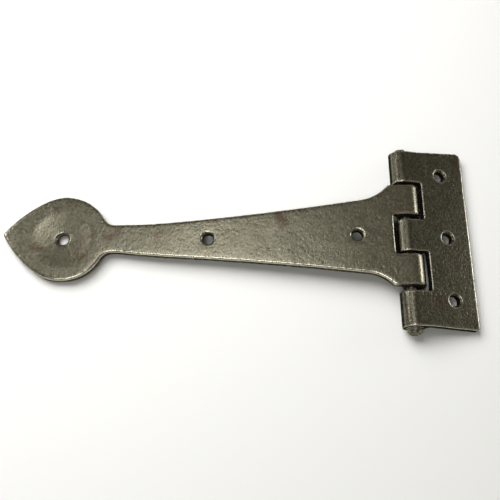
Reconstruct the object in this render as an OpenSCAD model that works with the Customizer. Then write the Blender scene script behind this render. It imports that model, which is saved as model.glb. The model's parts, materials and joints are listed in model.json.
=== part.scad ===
// Strap hinge for a door, gate or chest lid, in three cast and forged pieces:
// a long strap leaf, a short frame plate and the riveted pin that joins them.
// The origin is the middle of the pin. +Y runs along the pin, -X to the strap's tip, +Z out of the front.
// The hinge lies face up on a flat surface: the barrel, the strap's tip and the plate's far edge touch it.

/* [Barrel and pin] */
// Outer diameter of the rolled eyes
barrel_d = 15.5; // [14:0.1:18]
// Diameter of the pin and of the plate's eyes
pin_d = 7; // [5:0.1:8]
// Radius of the fillets between the eyes and the backs of the leaves
eye_fillet_r = 2; // [1.5:0.1:2.2]
// How far the strap's eyes stand over the pin towards the plate, with their bores off centre
eye_shift = 2; // [0:0.1:2]
// Radial play of the strap's eyes on the pin
pin_play = 0.08; // [0.02:0.01:0.1]
// How far the strap sits off centre along the pin, within its end play
strap_slide = 0.75; // [0:0.05:1.2]
// Diameter of the large hammered head
big_head_d = 11; // [9:0.1:13]
// How far the large head stands out of the plate
big_head_l = 5.2; // [3:0.1:6]
// Diameter of the small hammered head
small_head_d = 10; // [7.5:0.1:12]
// How far the small head stands out of the plate
small_head_l = 4.2; // [2:0.1:5]

/* [Leaves] */
// Thickness of both leaves
leaf_t = 5.5; // [4:0.1:6]
// Diameter of the screw holes
screw_d = 7; // [5:0.1:8]
// Diameter of the shallow countersinks
sink_d = 9.6; // [8.5:0.1:11]
// Depth of the countersinks
sink_depth = 1.3; // [0.8:0.1:1.8]

/* [Frame plate] */
// Width of the plate from the pin axis to its far edge
plate_w = 41.5; // [36:0.1:60]
// Length of the plate along the barrel
plate_l = 120.4; // [112:0.1:130]
// Length of the plate along its far edge
plate_far_l = 124; // [114:0.1:134]
// Radius of the far corner at +Y
round_corner_r = 4; // [1:0.1:6]
// Radius of the far corner at -Y
sharp_corner_r = 1.5; // [1:0.1:6]
// Length of the middle knuckle
plate_mid_l = 22; // [16:0.1:24]
// Distance between the two end knuckles
plate_gap_l = 74.6; // [70:0.1:80]
// Distance from the pin axis to the bottom of the notch at +Y
top_notch_x = 9.9; // [9.9:0.1:12]
// Distance from the pin axis to the bottom of the notch at -Y
bottom_notch_x = 10.9; // [9.9:0.1:12]

/* [Strap leaf] */
// Length of the strap from the pin axis to its tip
strap_l = 266.3; // [240:0.5:320]
// Distance between the strap's two knuckles
strap_gap_l = 26.7; // [24.5:0.1:30]
// Width over the strap's two knuckles
strap_knuckle_l = 69.4; // [64:0.1:72]
// Distance from the pin axis to the bottom of the strap's notch
strap_notch_x = 8.9; // [8.8:0.1:12]
// Distance from the pin axis to the root of the strap, where its flares begin
root_x = 28; // [24:0.5:34]
// Width of the strap at its root
root_w = 50.6; // [46:0.1:54]
// Radius of the flares that widen the root to the knuckles
flare_r = 28; // [24:0.5:29]
// Angle between the strap's middle line and the start of a flare
flare_start = 9; // [5:1:12]
// Distance from the pin axis to the neck
neck_x = 190; // [160:0.5:192]
// Width of the neck
neck_w = 19.2; // [14:0.1:24]
// How much the strap's sides curve in between the root and the neck
side_bow = 1.6; // [0:0.05:4]
// Radius of the fillets between the neck and the spade
neck_fillet_r = 8; // [4:0.5:12]
// Distance from the pin axis to the middle of the spade
spade_x = 225.5; // [224:0.5:230]
// How much nearer to the pin the spade is widest on its +Y side than on its -Y side
spade_skew = 1.6; // [0:0.5:5]
// Width of the spade
spade_w = 58.5; // [54:0.5:60]
// Angle past the spade's widest place at which its sides start to run to the tip
shoulder_angle = 30; // [15:1:34]
// Diameter of the shallow dish in the spade
dish_d = 40; // [30:1:52]
// Depth of the dish
dish_depth = 1.4; // [0.5:0.1:2]
// Sideways drift of the hand-drawn neck
neck_drift = 1.6; // [0:0.1:3]
// How much further the middle of the spade lies to that side
spade_drift = 1.1; // [0:0.1:2]
// Further sideways drift of the tip
tip_drift = 3.4; // [0:0.1:4]

/* [Hidden] */
$fn = 96;
barrel_r = barrel_d / 2;
pin_r = pin_d / 2;
back_z = barrel_r - leaf_t;
// Distance from the pin axis to where the fillets of the eyes meet the backs of the leaves
eye_reach = sqrt(pow(barrel_r + eye_fillet_r, 2) - pow(back_z - eye_fillet_r, 2));
// Each screw hole as its distance from the pin axis and its place along the pin
plate_holes = [[24.5, 43.6], [25.5, -0.8], [26.2, -42.9]];
strap_holes = [[33.2, -0.5], [130.2, -0.5], [226.1, 1.6]];
spade_hole = strap_holes[2];
// Angles at which the two leaves lie with their far edges on the surface
plate_tilt = lying_angle(plate_w);
strap_tilt = lying_angle(strap_l);
// The strap's middle line steps a little to -Y between the eyes and the root, and drifts back to +Y over
// the last stretch before the neck
drift_x = neck_x - 40;
first_drift = -0.5;
arc_steps = 12;
side_steps = 10;
cut = 1;
iron = [0.27, 0.26, 0.22];
steel = [0.36, 0.35, 0.32];

// Tilt at which the back edge of a leaf of width w is as low as the barrel
function lying_angle(w) = asin(barrel_r / norm([w, back_z])) + atan2(back_z, w);

function arc(centre, r, from, to) =
    [for (i = [0 : arc_steps]) let (a = from + (to - from) * i / arc_steps) centre + r * [cos(a), sin(a)]];

// Sideways place of the strap's middle line at a distance x from the pin axis
function drift(x) =
    first_drift * share(x, eye_reach, root_x)
    + neck_drift * pow(share(x, drift_x, neck_x), 2)
    + spade_drift * pow(share(x, neck_x, spade_x), 2)
    + tip_drift * pow(share(x, spade_x, strap_l), 2);

// How far x is on its way from a start to an end, from 0 to 1
function share(x, start, end) = max(0, min(1, (x - start) / (end - start)));

// Half width of the strap between its root and its neck
function side(s) = (root_w * (1 - s) + neck_w * s) / 2 - 4 * side_bow * s * (1 - s);

// One side of the strap from its knuckle to its tip, as distance from the axis and half width, on a spade
// that is widest at middle_x
function strap_side(middle_x) =
    let (
        knuckle_w = strap_knuckle_l / 2,
        flare_centre = [root_x + flare_r * sin(flare_start), root_w / 2 + flare_r * cos(flare_start)],
        flare_end = acos((flare_centre[1] - knuckle_w) / flare_r),
        spade_r = spade_w / 2,
        fillet_y = neck_w / 2 + neck_fillet_r,
        fillet_x = middle_x - sqrt(pow(spade_r + neck_fillet_r, 2) - pow(fillet_y, 2)),
        fillet_angle = atan2(fillet_y, middle_x - fillet_x),
        reach = strap_l - middle_x,
        extra_r = (reach * reach - spade_r * spade_r) / 2 / (spade_r - reach * sin(shoulder_angle)),
        long_r = spade_r + extra_r,
        long_centre = [middle_x, 0] - extra_r * [sin(shoulder_angle), cos(shoulder_angle)]
    )
    concat(
        [[-eye_shift, knuckle_w], [eye_reach, knuckle_w]],
        arc(flare_centre, flare_r, 270 - flare_end, 270 - flare_start),
        [for (i = [1 : side_steps]) let (s = i / side_steps) [root_x + (neck_x - root_x) * s, side(s)]],
        arc([fillet_x, fillet_y], neck_fillet_r, 270, 360 - fillet_angle),
        arc([middle_x, 0], spade_r, 180 - fillet_angle, 90 - shoulder_angle),
        arc(long_centre, long_r, 90 - shoulder_angle, atan2(-long_centre[1], strap_l - long_centre[0]))
    );

module strap_outline() {
    upper = strap_side(spade_x - spade_skew / 2);
    mirrored = strap_side(spade_x + spade_skew / 2);
    lower = [for (i = [len(mirrored) - 2 : -1 : 0]) [mirrored[i][0], -mirrored[i][1]]];
    difference() {
        polygon([for (p = concat(upper, lower)) [-p[0], p[1] + drift(p[0])]]);
        translate([-strap_notch_x, -strap_gap_l / 2])
            square([strap_notch_x + eye_shift + cut, strap_gap_l]);
    }
}

module plate_outline() {
    far = plate_far_l / 2;
    near = plate_l / 2;
    spread = (far - near) / (plate_w - eye_reach);
    lean = atan(spread);
    r1 = round_corner_r;
    r2 = sharp_corner_r;
    // Past the eyes the end edges lean outwards, so the corner arcs turn through more than a right angle
    top = [plate_w - r1, far - spread * r1 - r1 / cos(lean)];
    bottom = [plate_w - r2, -far + spread * r2 + r2 / cos(lean)];
    difference() {
        polygon(concat(
            [[0, -near], [eye_reach, -near]],
            arc(bottom, r2, 270 - lean, 360),
            arc(top, r1, 0, 90 + lean),
            [[eye_reach, near], [0, near]]
        ));
        translate([-cut, plate_mid_l / 2])
            square([top_notch_x + cut, (plate_gap_l - plate_mid_l) / 2]);
        translate([-cut, -plate_gap_l / 2])
            square([bottom_notch_x + cut, (plate_gap_l - plate_mid_l) / 2]);
    }
}

// A round bar along the pin, from one place along it to another
module bar(r, from, to) {
    translate([0, to, 0])
        rotate([90, 0, 0])
            cylinder(r = r, h = to - from);
}

// A rolled eye from one place along the pin to another, with the fillet that joins its back to a leaf
// on the +X side (way = 1) or the -X side (way = -1)
module eye(from, to, way) {
    centre = [eye_reach, back_z - eye_fillet_r];
    lowest = atan2(-centre[1], -centre[0]) + (centre[1] > 0 ? 360 : 0);
    fillet = concat([[pin_r, 0], [pin_r, back_z + cut], [eye_reach, back_z + cut]],
        arc(centre, eye_fillet_r, 90, lowest));
    bar(barrel_r, from, to);
    translate([0, to, 0])
        rotate([90, 0, 0])
            linear_extrude(to - from)
                polygon([for (p = fillet) [way * p[0], p[1]]]);
}

// A screw hole right through a leaf, sunk from a front face at height front_z
module screw_hole(x, y, front_z) {
    translate([x, y, back_z - cut])
        cylinder(d = screw_d, h = leaf_t + 2 * cut);
    translate([x, y, front_z - sink_depth])
        cylinder(d1 = screw_d, d2 = sink_d + (sink_d - screw_d) * cut / sink_depth, h = sink_depth + cut);
}

module strap_leaf() {
    dish_r = (dish_d * dish_d / 4 + dish_depth * dish_depth) / (2 * dish_depth);
    color(iron)
        rotate([0, -strap_tilt, 0])
            translate([0, strap_slide, 0])
                difference() {
                    union() {
                        translate([0, 0, back_z])
                            linear_extrude(leaf_t)
                                strap_outline();
                        translate([eye_shift, 0, 0]) {
                            eye(strap_gap_l / 2, strap_knuckle_l / 2, -1);
                            eye(-strap_knuckle_l / 2, -strap_gap_l / 2, -1);
                        }
                    }
                    bar(pin_r + pin_play, -strap_knuckle_l, strap_knuckle_l);
                    translate([-spade_hole[0], spade_hole[1], barrel_r - dish_depth + dish_r])
                        sphere(dish_r);
                    for (h = strap_holes)
                        screw_hole(-h[0], h[1], barrel_r - (h == spade_hole ? dish_depth : 0));
                }
}

module frame_plate() {
    color(iron)
        rotate([0, plate_tilt, 0])
            difference() {
                union() {
                    translate([0, 0, back_z])
                        linear_extrude(leaf_t)
                            plate_outline();
                    eye(-plate_l / 2, -plate_gap_l / 2, 1);
                    eye(-plate_mid_l / 2, plate_mid_l / 2, 1);
                    eye(plate_gap_l / 2, plate_l / 2, 1);
                }
                bar(pin_r, -plate_l, plate_l);
                for (h = plate_holes)
                    screw_hole(h[0], h[1], barrel_r);
            }
}

// A hammered head on the -Y end of a pin: a short rim under a low dome
module head(d, l) {
    dome_h = l * 0.6;
    dome_r = (d * d / 4 + dome_h * dome_h) / (2 * dome_h);
    intersection() {
        bar(d / 2, -l, 0);
        translate([0, dome_r - l, 0])
            sphere(dome_r);
    }
}

module hinge_pin() {
    color(steel) {
        bar(pin_r, -plate_l / 2, plate_l / 2);
        translate([0, -plate_l / 2, 0])
            head(big_head_d, big_head_l);
        mirror([0, 1, 0])
            translate([0, -plate_l / 2, 0])
                head(small_head_d, small_head_l);
    }
}

strap_leaf();
frame_plate();
hinge_pin();
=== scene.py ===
import json
import math

import bmesh
import bpy
import numpy as np
from mathutils import Matrix, Vector


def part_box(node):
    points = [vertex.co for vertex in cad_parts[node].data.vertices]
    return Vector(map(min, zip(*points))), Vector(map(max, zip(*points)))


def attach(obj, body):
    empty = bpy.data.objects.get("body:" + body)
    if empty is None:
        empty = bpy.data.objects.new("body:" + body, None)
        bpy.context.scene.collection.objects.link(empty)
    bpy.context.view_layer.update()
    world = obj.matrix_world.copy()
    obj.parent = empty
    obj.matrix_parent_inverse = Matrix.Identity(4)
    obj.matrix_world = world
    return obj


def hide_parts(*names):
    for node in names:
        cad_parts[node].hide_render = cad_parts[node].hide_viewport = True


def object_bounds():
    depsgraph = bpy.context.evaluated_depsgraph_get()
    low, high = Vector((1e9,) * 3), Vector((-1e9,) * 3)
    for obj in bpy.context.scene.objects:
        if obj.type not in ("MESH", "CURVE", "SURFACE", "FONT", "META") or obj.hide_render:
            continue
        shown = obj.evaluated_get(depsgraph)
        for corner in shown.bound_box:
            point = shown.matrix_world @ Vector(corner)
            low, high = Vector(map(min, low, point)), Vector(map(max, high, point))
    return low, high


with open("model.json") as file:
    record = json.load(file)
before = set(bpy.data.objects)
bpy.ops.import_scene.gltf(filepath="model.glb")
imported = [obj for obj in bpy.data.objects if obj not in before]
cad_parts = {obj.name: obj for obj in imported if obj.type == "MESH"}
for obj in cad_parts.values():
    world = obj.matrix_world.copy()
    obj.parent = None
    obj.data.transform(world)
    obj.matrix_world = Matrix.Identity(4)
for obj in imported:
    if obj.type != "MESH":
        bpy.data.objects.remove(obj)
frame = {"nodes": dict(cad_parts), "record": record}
cad_box = [list(corner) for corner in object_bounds()]


# ---- Strap leaf -----------------------------------------------------------------------------------
# One iron casting: a long leaf that tapers to a neck and a dished spade, with two eyes cored for the
# pin. Its front edges were dressed by hand and it is blackened, burnished and waxed. It turns on the
# pin, and nothing else holds it.


class Wire:
    """An output in a shader or geometry tree. Arithmetic on wires adds Math nodes to that tree."""

    def __init__(self, tree, socket):
        self.tree = tree
        self.socket = socket

    def add(self, kind, settings=None, sockets=None, out=0):
        """Adds a node, sets its settings and then its sockets, and gives one of its outputs."""
        node = self.tree.nodes.new(kind)
        for name, value in (settings or {}).items():
            setattr(node, name, value)
        for key, value in (sockets or {}).items():
            if isinstance(value, Wire):
                self.tree.links.new(value.socket, node.inputs[key])
            else:
                node.inputs[key].default_value = value
        return Wire(self.tree, node.outputs[out])

    def maths(self, operation, other=0.0):
        return self.add("ShaderNodeMath", {"operation": operation}, {0: self, 1: other})

    def vectors(self, operation, sockets=None, out="Vector"):
        return self.add("ShaderNodeVectorMath", {"operation": operation},
                        {0: self, **(sockets or {})}, out)

    def __add__(self, other):
        return self.maths("ADD", other)

    def __sub__(self, other):
        return self.maths("SUBTRACT", other)

    def __rsub__(self, other):
        return self.add("ShaderNodeMath", {"operation": "SUBTRACT"}, {0: other, 1: self})

    def __mul__(self, other):
        return self.maths("MULTIPLY", other)

    def __truediv__(self, other):
        return self.maths("DIVIDE", other)

    def __rtruediv__(self, other):
        return self.add("ShaderNodeMath", {"operation": "DIVIDE"}, {0: other, 1: self})

    __radd__ = __add__
    __rmul__ = __mul__

    def ramp(self, low, high):
        """Runs smoothly from 0 where the value is low to 1 where it is high."""
        return self.add("ShaderNodeMapRange", {"interpolation_type": "SMOOTHSTEP"},
                        {"Value": self, "From Min": low, "From Max": high})

    def cloud(self, size, detail, seed):
        """Noise from 0 to 1 at this place, whose lumps are size across."""
        scale = 1.0 / size
        return self.add("ShaderNodeTexNoise", {"noise_dimensions": "4D"},
                        {"Vector": self, "W": seed, "Scale": scale, "Detail": detail})

    def tinted(self, plain, tint):
        """Mixes a plain colour with a tint, this value being the share of the tint."""
        return self.add("ShaderNodeMix", {"data_type": "RGBA"}, {0: self, 6: plain, 7: tint}, out=2)


def millimetres(place):
    """A position in metres as one in millimetres, in which the trees and finishes give sizes."""
    return place.vectors("SCALE", {"Scale": 1000.0})


def tree_with_inputs(name, inputs):
    """A geometry tree with these named inputs, and its inputs as wires and its output socket."""
    tree = bpy.data.node_groups.new(name, "GeometryNodeTree")
    for label, kind in inputs.items():
        tree.interface.new_socket(label, in_out="INPUT", socket_type="NodeSocket" + kind)
    tree.interface.new_socket("Result", in_out="OUTPUT", socket_type="NodeSocketGeometry")
    given = tree.nodes.new("NodeGroupInput")
    result = tree.nodes.new("NodeGroupOutput")
    return tree, {label: Wire(tree, given.outputs[label]) for label in inputs}, result.inputs[0]


def height_over(place, normal, passes):
    """How far a point stands proud of the surface around it, below 0 if it lies in a hollow."""
    around = place.add("GeometryNodeBlurAttribute", {"data_type": "FLOAT_VECTOR"},
                       {"Value": place, "Iterations": passes})
    return place.vectors("SUBTRACT", {1: around}).vectors("DOT_PRODUCT", {1: normal}, out="Value")


def worn_and_finished(geometry, wear, finish):
    """Stores "wear", which tells the finish what is rubbed and, through low values on the leaves' side
    walls, where it paints shade, and gives the geometry that finish.
    """
    worn = geometry.add("GeometryNodeStoreNamedAttribute", {"data_type": "FLOAT", "domain": "POINT"},
                        {"Geometry": geometry, "Name": "wear", "Value": wear})
    smooth = worn.add("GeometryNodeSetShadeSmooth", {}, {"Geometry": worn})
    real = smooth.add("GeometryNodeRealizeInstances", {}, {"Geometry": smooth})
    return real.add("GeometryNodeSetMaterial", {}, {"Geometry": real, "Material": finish})


screw_holes = ("First Hole", "Second Hole", "Third Hole")


def dressed_casting_tree():
    """Turns a sharp solid into a casting: dressed front edges, a slightly uneven skin and open pits.

    The countersinks and the bore stay crisp. Side walls get their wear lowered, so the finish paints
    them near black as painted shade."""
    undressed_height, dressed_height = 2.2, 5.5
    countersink_radius, dressed_radius = 4.9, 6.4
    bore_margin = 1.5
    patch_size, bare_of_pits, full_of_pits = 9.0, 0.35, 0.7
    face_lean, wall_lean, wall_shade = 0.45, 0.05, 0.25

    tree, given, result = tree_with_inputs("dressed_casting", {
        "Casting": "Geometry", "Dressing Passes": "Int", "Swell Height": "Float", "Swell Size": "Float",
        "Grain Height": "Float", "Grain Size": "Float", "Pits per Metre": "Float", "Pit Radius": "Float",
        "Pit Depth": "Float", "Clear Radius": "Float", **dict.fromkeys(screw_holes, "Vector"),
        "Seed": "Int", "Finish": "Material"})
    casting = given["Casting"]
    point = casting.add("GeometryNodeInputPosition")
    place = millimetres(point)
    normal = point.add("GeometryNodeInputNormal")

    def away_from(hole):
        """Distance across the leaf from the axis of a screw hole."""
        offset = place.vectors("SUBTRACT", {1: hole})
        return offset.vectors("MULTIPLY", {1: (1.0, 1.0, 0.0)}).vectors("LENGTH", out="Value")

    def lumps(size, detail):
        """Noise from -1 to 1, whose lumps are size across."""
        noise = point.add("ShaderNodeTexNoise", {"noise_dimensions": "4D"},
                          {"Vector": place, "W": given["Seed"], "Scale": 1.0 / size, "Detail": detail})
        return (noise - 0.5) * 2.0

    front = place.add("ShaderNodeSeparateXYZ", {}, {0: place}, out="Z")
    front = front.ramp(undressed_height, dressed_height)
    first, second, third = (away_from(given[hole]) for hole in screw_holes)
    nearest = first.maths("MINIMUM", second).maths("MINIMUM", third)
    softened = point.add("GeometryNodeBlurAttribute", {"data_type": "FLOAT_VECTOR"},
                         {"Value": point, "Iterations": given["Dressing Passes"]})
    filed = front.add("ShaderNodeMix", {"data_type": "VECTOR"},
                      {0: front * nearest.ramp(countersink_radius, dressed_radius),
                       4: point, 5: softened}, out=1)
    dressed = casting.add("GeometryNodeSetPosition", {}, {"Geometry": casting, "Position": filed})

    dots = dressed.add("GeometryNodeDistributePointsOnFaces", {},
                       {"Mesh": dressed, "Density": given["Pits per Metre"], "Seed": given["Seed"]})
    near = dots.add("GeometryNodeProximity", {"target_element": "POINTS"},
                    {"Geometry": dots, "Sample Position": point}, out="Distance")
    inside = (near * 1000.0).ramp(given["Pit Radius"], 0.0)
    depth = given["Pit Depth"] * place.cloud(patch_size, 0.0, 4.0).ramp(bare_of_pits, full_of_pits)
    rise = (lumps(given["Swell Size"], 1.0) * given["Swell Height"]
            + lumps(given["Grain Size"], 2.0) * given["Grain Height"])
    radius = place.vectors("MULTIPLY", {1: (1.0, 0.0, 1.0)}).vectors("LENGTH", out="Value")
    clear = radius.ramp(given["Clear Radius"], given["Clear Radius"] + bore_margin)
    move = normal.vectors("SCALE", {"Scale": (rise - inside * depth) * clear * 0.001})
    skinned = dressed.add("GeometryNodeSetPosition", {}, {"Geometry": dressed, "Offset": move})

    lean = normal.add("ShaderNodeSeparateXYZ", {}, {0: normal}, out="Z")
    # The wall term is painted shade: it lowers the wear on side walls so that the finish paints them
    # near black.
    wear = height_over(place, normal, 6) - lean.ramp(face_lean, wall_lean) * wall_shade
    tree.links.new(worn_and_finished(skinned, wear, given["Finish"]).socket, result)
    return tree


def run_tree(piece, tree, values):
    """Runs a geometry tree on a piece with named values, and leaves the result as its plain mesh."""
    modifier = piece.modifiers.new(tree.name, "NODES")
    modifier.node_group = tree
    for item in tree.interface.items_tree:
        if item.in_out == "INPUT" and item.name in values:
            modifier[item.identifier] = values[item.name]
    graph = bpy.context.evaluated_depsgraph_get()
    made = bpy.data.meshes.new_from_object(piece.evaluated_get(graph), preserve_all_data_layers=True,
                                           depsgraph=graph)
    piece.modifiers.clear()
    piece.data = made


def flat_turn(back_mount):
    """The turn about the pin that lays a leaf's back face flat."""
    down = next(m["axis"] for m in frame["record"]["mounts"] if m["name"] == back_mount)
    return Matrix.Rotation(math.atan2(down[0], -down[2]), 4, "Y")


def cast_leaf(name, node, screws, turn, cell, values):
    """A leaf's casting, made from its solid: cells of even size, then the dressed casting tree.

    The turn lays its back flat while it is made. Its screw holes are the mounts named for screws."""
    bore_play = 0.3
    reamed = 0.00045
    places = [Vector(m["pos_m"]) for m in frame["record"]["mounts"] if m["name"].startswith(screws)]
    holes = {hole: tuple(1000.0 * (turn @ place)) for hole, place in zip(screw_holes, places)}
    solid = bmesh.new()
    solid.from_mesh(frame["nodes"][node].data)
    bmesh.ops.remove_doubles(solid, verts=solid.verts, dist=1e-6)
    bmesh.ops.transform(solid, matrix=turn, verts=solid.verts)
    mesh = bpy.data.meshes.new(name)
    solid.to_mesh(mesh)
    solid.free()
    bore = min(math.hypot(v.co.x, v.co.z) for v in mesh.vertices)

    leaf = bpy.data.objects.new(name, mesh)
    bpy.context.scene.collection.objects.link(leaf)
    cells = leaf.modifiers.new("cells", "REMESH")
    cells.mode = "VOXEL"
    cells.voxel_size = cell
    run_tree(leaf, dressed_casting, {**values, **holes, "Clear Radius": 1000.0 * bore + bore_play})

    # The eyes are reamed after casting, so their walls go back to a true round
    points = np.empty(len(leaf.data.vertices) * 3)
    leaf.data.vertices.foreach_get("co", points)
    points = points.reshape(-1, 3)
    radius = np.hypot(points[:, 0], points[:, 2])
    share = np.clip((radius - bore) / reamed, 0.0, 1.0)
    true_radius = bore + (radius - bore) * share * share
    points[:, [0, 2]] *= np.where(radius < bore + reamed, true_radius / radius, 1.0)[:, None]
    leaf.data.vertices.foreach_set("co", points.ravel())
    leaf.data.transform(turn.inverted())
    leaf.data.update()
    return leaf


def patina_iron(name, dark, light, roughness, brown_share, edge_gain, relief):
    """Iron with a burnished patina: dark in its hollows, painted near black as painted shade where the
    wear is low, bright where it is rubbed, brown in places.

    The edge gain is how strongly its edges are rubbed, and the relief is how rough its face stays."""
    brown_rust = (0.20, 0.125, 0.085, 1.0)
    pit_floor = (0.09, 0.085, 0.065, 1.0)
    black_grime_and_wall_shade = (0.030, 0.028, 0.021, 1.0)
    bare_speck = (0.80, 0.78, 0.66, 1.0)
    rubbed_edge = (0.74, 0.71, 0.60, 1.0)
    along_strokes = (0.7, 2.2, 1.0)

    finish = bpy.data.materials.new(name)
    finish.use_nodes = True
    shader = finish.node_tree.nodes["Principled BSDF"]
    start = Wire(finish.node_tree, None)
    place = millimetres(start.add("ShaderNodeTexCoord", out="Object"))
    wear = start.add("ShaderNodeAttribute", {"attribute_name": "wear"}, out="Fac")

    blotch = place.cloud(1.4, 3.0, 1.0)
    grain = place.cloud(0.5, 2.0, 2.0)
    streak = place.vectors("DIVIDE", {1: along_strokes}).cloud(1.0, 2.0, 7.0)
    broad = place.cloud(12.0, 2.0, 3.0)
    speck = place.cloud(0.9, 1.0, 4.0).ramp(0.63, 0.71) * broad.ramp(0.38, 0.58)
    pit = place.cloud(1.1, 1.0, 5.0).ramp(0.30, 0.20)
    brown = place.cloud(16.0, 3.0, 9.0).ramp(0.58, 0.72) * brown_share
    rubbed = (wear * edge_gain + (grain - 0.5) * 1.2 + (blotch - 0.5) * 1.2).ramp(0.35, 0.85)
    # Dark grime in the hollows, plus painted shade on side walls, whose wear is lowered.
    grime_and_wall_shade = (wear * -3.5 + (blotch - 0.5) * 0.6).ramp(0.30, 0.80)

    metal = (blotch * 0.7 + grain * 0.3).ramp(0.38, 0.62).tinted(dark, light)
    metal = brown.tinted(metal, brown_rust)
    metal = (pit * 0.4).tinted(metal, pit_floor)
    metal = (grime_and_wall_shade * 0.9).tinted(metal, black_grime_and_wall_shade)
    metal = (speck * 0.7).tinted(metal, bare_speck)
    metal = (rubbed * 0.85).tinted(metal, rubbed_edge)
    tarnish = (blotch - 0.5) * 0.14 + (grain - 0.5) * 0.14 + grime_and_wall_shade * 0.6 + pit * 0.1 - rubbed * 0.04
    height = (blotch * 0.30 + streak * 0.22 + grain * 0.04 - pit * 0.05) * relief
    bump = height.add("ShaderNodeBump", {}, {"Height": height, "Distance": 0.001, "Strength": 0.8})

    links = finish.node_tree.links
    links.new(metal.socket, shader.inputs["Base Color"])
    links.new((tarnish + roughness).socket, shader.inputs["Roughness"])
    links.new(bump.socket, shader.inputs["Normal"])
    shader.inputs["Metallic"].default_value = 1.0
    shader.inputs["Specular Tint"].default_value = (0.35, 0.34, 0.30, 1.0)
    return finish


dressed_casting = dressed_casting_tree()
strap_iron = patina_iron("strap_iron", dark=(0.32, 0.301, 0.219, 1.0), light=(0.44, 0.415, 0.310, 1.0),
                         roughness=0.28, brown_share=0.7, edge_gain=6.0, relief=0.5)
strap = cast_leaf("strap_casting", "strap_leaf", "strap_screw", flat_turn("strap_back"), 0.00056, {
    "Dressing Passes": 10, "Swell Height": 0.16, "Swell Size": 16.0, "Grain Height": 0.07,
    "Grain Size": 2.1, "Pits per Metre": 4500.0, "Pit Radius": 1.3, "Pit Depth": 0.16, "Seed": 11,
    "Finish": strap_iron})
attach(strap, "strap")
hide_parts("strap_leaf")


# ---- Frame plate ----------------------------------------------------------------------------------
# The short leaf, cast in the same iron with three eyes, which close round the pin and grip it. It
# screws to the frame or post. Its iron is painted about half as bright as the strap's, as painted shade.

# Both colours are painted shade: the plate is the same iron as the strap, painted darker because its
# tilted face mirrors dimmer light.
plate_iron = patina_iron("plate_iron", dark=(0.175, 0.164, 0.118, 1.0), light=(0.268, 0.251, 0.187, 1.0),
                         roughness=0.30, brown_share=0.5, edge_gain=12.0, relief=0.75)
plate = cast_leaf("plate_casting", "frame_plate", "plate_screw", flat_turn("plate_back"), 0.00042, {
    "Dressing Passes": 7, "Swell Height": 0.12, "Swell Size": 14.0, "Grain Height": 0.03,
    "Grain Size": 1.7, "Pits per Metre": 3500.0, "Pit Radius": 1.0, "Pit Depth": 0.14, "Seed": 23,
    "Finish": plate_iron})
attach(plate, "frame_plate_and_pin")
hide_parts("frame_plate")


# ---- Hinge pin ------------------------------------------------------------------------------------
# A mild steel pin, driven through all five eyes and hammered over at both ends. The plate's eyes hold
# it still and the strap turns on it.


def riveted_pin_tree():
    """A bar along Y that swells into a hammered head at each end, with dents of the hammer's face."""
    roundness = 2.6
    dent_start = 0.8

    tree, given, result = tree_with_inputs("riveted_pin", {
        "Start": "Vector", "End": "Vector", "Shank Radius": "Float", "Start Head Radius": "Float",
        "Start Head Length": "Float", "End Head Radius": "Float", "End Head Length": "Float",
        "Dent Size": "Float", "Dent Depth": "Float", "Seed": "Int", "Finish": "Material"})
    line = given["Start"].add("GeometryNodeCurvePrimitiveLine", {},
                              {"Start": given["Start"], "End": given["End"]})
    bar = line.add("GeometryNodeResampleCurve", {}, {"Curve": line, "Count": 700})
    point = bar.add("GeometryNodeInputPosition")

    def head(tip, radius, length):
        """Radius of a head that starts at a tip as a low dome and ends square on the eye."""
        away = point.vectors("DISTANCE", {1: tip}, out="Value")
        share = (away / length).maths("MINIMUM", 1.0)
        dome = 1.0 - (1.0 - share).maths("POWER", roundness)
        return dome.maths("POWER", 1.0 / roundness) * radius * away.maths("LESS_THAN", length)

    heads = (head(given["Start"], given["Start Head Radius"], given["Start Head Length"])
             + head(given["End"], given["End Head Radius"], given["End Head Length"]))
    shank = (1.0 - heads.maths("GREATER_THAN", 0.0)) * given["Shank Radius"]
    at_tip = point.add("GeometryNodeCurveEndpointSelection", {}, {"Start Size": 1, "End Size": 1})
    ring = point.add("GeometryNodeCurvePrimitiveCircle", {}, {"Resolution": 72, "Radius": 1.0})
    swept = bar.add("GeometryNodeCurveToMesh", {},
                    {"Curve": bar, "Profile Curve": ring, "Scale": (heads + shank) * (1.0 - at_tip)})
    welded = swept.add("GeometryNodeMergeByDistance", {}, {"Geometry": swept, "Distance": 1e-6})

    place = millimetres(point)
    dent = place.add("ShaderNodeTexVoronoi", {"voronoi_dimensions": "4D", "feature": "SMOOTH_F1"},
                     {"Vector": place, "W": given["Seed"], "Scale": 1.0 / given["Dent Size"],
                      "Smoothness": 0.25})
    along = place.add("ShaderNodeSeparateXYZ", {}, {0: place}, out="Y").maths("ABSOLUTE")
    tip = given["End"].add("ShaderNodeSeparateXYZ", {}, {0: given["End"]}, out="Y")
    eye_end = (tip - given["End Head Length"]) * 1000.0
    on_head = along.ramp(eye_end, eye_end + dent_start)
    normal = point.add("GeometryNodeInputNormal")
    move = normal.vectors("SCALE", {"Scale": dent * given["Dent Depth"] * on_head * -0.001})
    hammered = welded.add("GeometryNodeSetPosition", {}, {"Geometry": welded, "Offset": move})
    wear = height_over(place, normal, 8)
    tree.links.new(worn_and_finished(hammered, wear, given["Finish"]).socket, result)
    return tree


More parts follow.
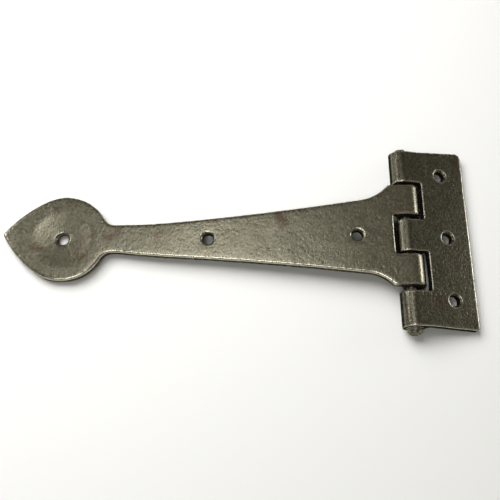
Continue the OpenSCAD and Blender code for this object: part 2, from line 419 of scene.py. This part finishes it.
pin_low, pin_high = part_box("hinge_pin")
barrel_end_y = 0.0602
pin_steel = patina_iron("pin_steel", dark=(0.13, 0.125, 0.095, 1.0), light=(0.24, 0.228, 0.18, 1.0),
                        roughness=0.34, brown_share=0.2, edge_gain=1.5, relief=0.8)
pin = bpy.data.objects.new("riveted_pin", bpy.data.meshes.new("riveted_pin"))
bpy.context.scene.collection.objects.link(pin)
run_tree(pin, riveted_pin_tree(), {
    "Start": (0.0, pin_low.y, 0.0), "End": (0.0, pin_high.y, 0.0), "Shank Radius": 0.00347,
    "Start Head Radius": pin_high.x, "Start Head Length": -barrel_end_y - pin_low.y,
    "End Head Radius": 0.005, "End Head Length": pin_high.y - barrel_end_y,
    "Dent Size": 3.0, "Dent Depth": 1.0, "Seed": 5, "Finish": pin_steel})
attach(pin, "frame_plate_and_pin")
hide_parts("hinge_pin")


# ---- Table ----------------------------------------------------------------------------------------
# A smooth white table top, which the barrel, the strap's tip and the plate's far edge lie on.

table_half = 3.0
skin_height = 0.00005
table_z = cad_box[0][2] - skin_height
table_mesh = bpy.data.meshes.new("table")
corners = [(x * table_half, y * table_half, table_z) for x, y in ((-1, -1), (1, -1), (1, 1), (-1, 1))]
table_mesh.from_pydata(corners, [], [(0, 1, 2, 3)])
table = bpy.data.objects.new("table", table_mesh)
bpy.context.scene.collection.objects.link(table)
table_white = bpy.data.materials.new("table_white")
table_white.use_nodes = True
table_shader = table_white.node_tree.nodes["Principled BSDF"]
table_shader.inputs["Base Color"].default_value = (0.86, 0.86, 0.85, 1.0)
table_shader.inputs["Roughness"].default_value = 0.7
table_mesh.materials.append(table_white)


# ---- Light and camera -----------------------------------------------------------------------------
# Four soft round panels, overhead, left, right and in front, are what the metal mirrors. A broader
# one at the back left whitens the table and sets its soft shadows, and the metal doesn't show it.
# The room is dim to the metal and pale where the camera looks past the table.


def panel(name, direction, distance, size, power, colour, in_metal):
    """A round soft light that faces the middle of the hinge from a direction."""
    data = bpy.data.lights.new(name, "AREA")
    data.shape = "DISK"
    data.size = size
    data.energy = power
    data.color = colour
    lamp = bpy.data.objects.new(name, data)
    towards = Vector(direction).normalized()
    lamp.location = middle + towards * distance
    lamp.rotation_euler = towards.to_track_quat("Z", "Y").to_euler()
    lamp.visible_glossy = in_metal
    bpy.context.scene.collection.objects.link(lamp)


middle = (Vector(cad_box[0]) + Vector(cad_box[1])) / 2
panel("overhead_panel", (-0.14, 0.19, 0.97), 1.2, 0.36, 0.95, (1.0, 1.0, 1.0), True)
panel("left_panel", (-0.74, 0.33, 0.58), 1.2, 0.40, 1.3, (1.0, 1.0, 1.0), True)
panel("right_panel", (0.93, 0.25, 0.22), 1.2, 0.36, 1.5, (1.0, 1.0, 1.0), True)
panel("front_light", (-0.20, -0.42, 0.88), 1.2, 0.50, 2.25, (1.0, 1.0, 0.97), True)
panel("table_light", (-0.38, 0.52, 0.77), 0.85, 0.8, 9.7, (1.0, 1.0, 0.985), False)

dim_room = (0.122, 0.116, 0.098, 1.0)
pale_room = (0.80, 0.80, 0.79, 1.0)
room = bpy.data.worlds.new("room")
room.use_nodes = True
seen = Wire(room.node_tree, None).add("ShaderNodeLightPath", out="Is Camera Ray")
backdrop = seen.tinted(dim_room, pale_room)
room.node_tree.links.new(backdrop.socket, room.node_tree.nodes["Background"].inputs["Color"])
bpy.context.scene.world = room
bpy.context.scene.view_settings.view_transform = "Standard"

camera_data = bpy.data.cameras.new("camera")
camera_data.lens = 50.33
camera_data.sensor_width = 36.0
camera = bpy.data.objects.new("camera", camera_data)
look_down = math.radians(70.667)
turn_right = math.radians(0.591)
camera.location = (-0.1045, -0.1581, 0.4300)
camera.rotation_euler = (math.radians(90.0) - look_down, 0.0, -turn_right)
bpy.context.scene.collection.objects.link(camera)
bpy.context.scene.camera = camera
